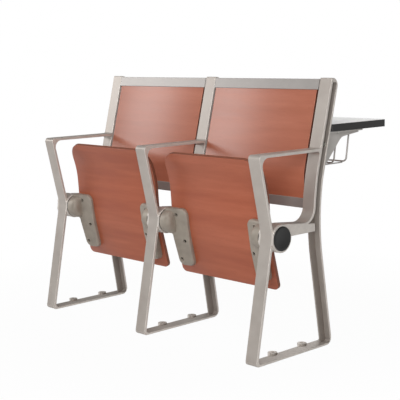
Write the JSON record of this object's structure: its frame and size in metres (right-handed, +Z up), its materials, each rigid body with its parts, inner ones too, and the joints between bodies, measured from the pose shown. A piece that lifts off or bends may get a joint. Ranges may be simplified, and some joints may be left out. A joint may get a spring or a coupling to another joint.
{
  "type": "tip up auditorium seat unit",
  "caption": "Fixed auditorium seating unit: tip up plywood seats and backs on cast side frames with arms, and a writing desk with book racks behind.",
  "frame": {"origin": "on the floor under the centre of the unit's bounding box", "axes": "+X along the row, to the right for a viewer who faces the seats; +Y towards the back; +Z up"},
  "size_m": [1.1786, 0.6824, 0.913],
  "materials": {
    "frame_coat": "warm light grey powder coat on cast aluminium",
    "bracket_coat": "light grey powder coat on steel",
    "rail_coat": "warm light grey powder coat on extruded aluminium",
    "seat_casting": "warm grey powder coat on die cast aluminium",
    "wire_coat": "grey powder coat on steel wire",
    "black_plastic": "black moulded plastic, fine texture",
    "seat_plywood": "reddish cherry veneer, satin lacquer",
    "back_plywood": "reddish cherry veneer, satin lacquer",
    "desk_laminate": "white laminate on board",
    "desk_edging": "black plastic edging",
    "bright_steel": "ground steel",
    "spring_steel": "oiled spring steel wire",
    "zinc_fastener": "zinc plated steel",
    "dark_screw": "black oxide steel",
    "nylon": "natural nylon",
    "buffer_rubber": "black rubber"
  },
  "bodies": {
    "root": {"side_frame_left": "frame_coat", "desk_bracket_left": "bracket_coat", "pivot_shaft_left": "bright_steel", "side_frame_middle": "frame_coat", "desk_bracket_middle": "bracket_coat", "pivot_shaft_middle": "bright_steel", "side_frame_right": "frame_coat", "desk_bracket_right": "bracket_coat", "pivot_shaft_right": "bright_steel", "end_cap_left": "black_plastic", "end_cap_right": "black_plastic", "return_spring_left_outer": "spring_steel", "return_spring_left_inner": "spring_steel", "return_spring_right_inner": "spring_steel", "return_spring_right_outer": "spring_steel", "shaft_roll_pins": "bright_steel", "up_stop_buffers": "buffer_rubber", "down_stop_buffers": "buffer_rubber", "thrust_washers": "black_plastic", "back_panel_left": "back_plywood", "top_rail_left": "rail_coat", "bottom_rail_left": "rail_coat", "book_rack_left": "wire_coat", "back_panel_right": "back_plywood", "top_rail_right": "rail_coat", "bottom_rail_right": "rail_coat", "book_rack_right": "wire_coat", "rail_screws": "zinc_fastener", "rail_studs": "zinc_fastener", "bracket_bolts": "zinc_fastener", "bracket_nuts": "zinc_fastener", "desk_screws": "zinc_fastener", "rack_screws": "zinc_fastener", "desk_board": "desk_laminate", "desk_edge_band": "desk_edging"},
    "seat_left": {"seat_panel_left": "seat_plywood", "seat_bracket_left_l": "seat_casting", "seat_bracket_left_r": "seat_casting", "pivot_bushes_left": "nylon", "seat_screws_left": "dark_screw", "seat_inserts_left": "zinc_fastener"},
    "seat_right": {"seat_panel_right": "seat_plywood", "seat_bracket_right_l": "seat_casting", "seat_bracket_right_r": "seat_casting", "pivot_bushes_right": "nylon", "seat_screws_right": "dark_screw", "seat_inserts_right": "zinc_fastener"}
  },
  "joints": [
    {"name": "seat_left_tip", "type": "hinge", "parent": "root", "child": "seat_left", "pos_m": [-0.27125, -0.22376, 0.406], "axis": [1, 0, 0], "range_deg": [0, 75], "stiffness_Nm_per_rad": 2, "springref_deg": -34.38},
    {"name": "seat_right_tip", "type": "hinge", "parent": "root", "child": "seat_right", "pos_m": [0.27875, -0.22376, 0.406], "axis": [1, 0, 0], "range_deg": [0, 75], "stiffness_Nm_per_rad": 2, "springref_deg": -34.38}
  ]
}
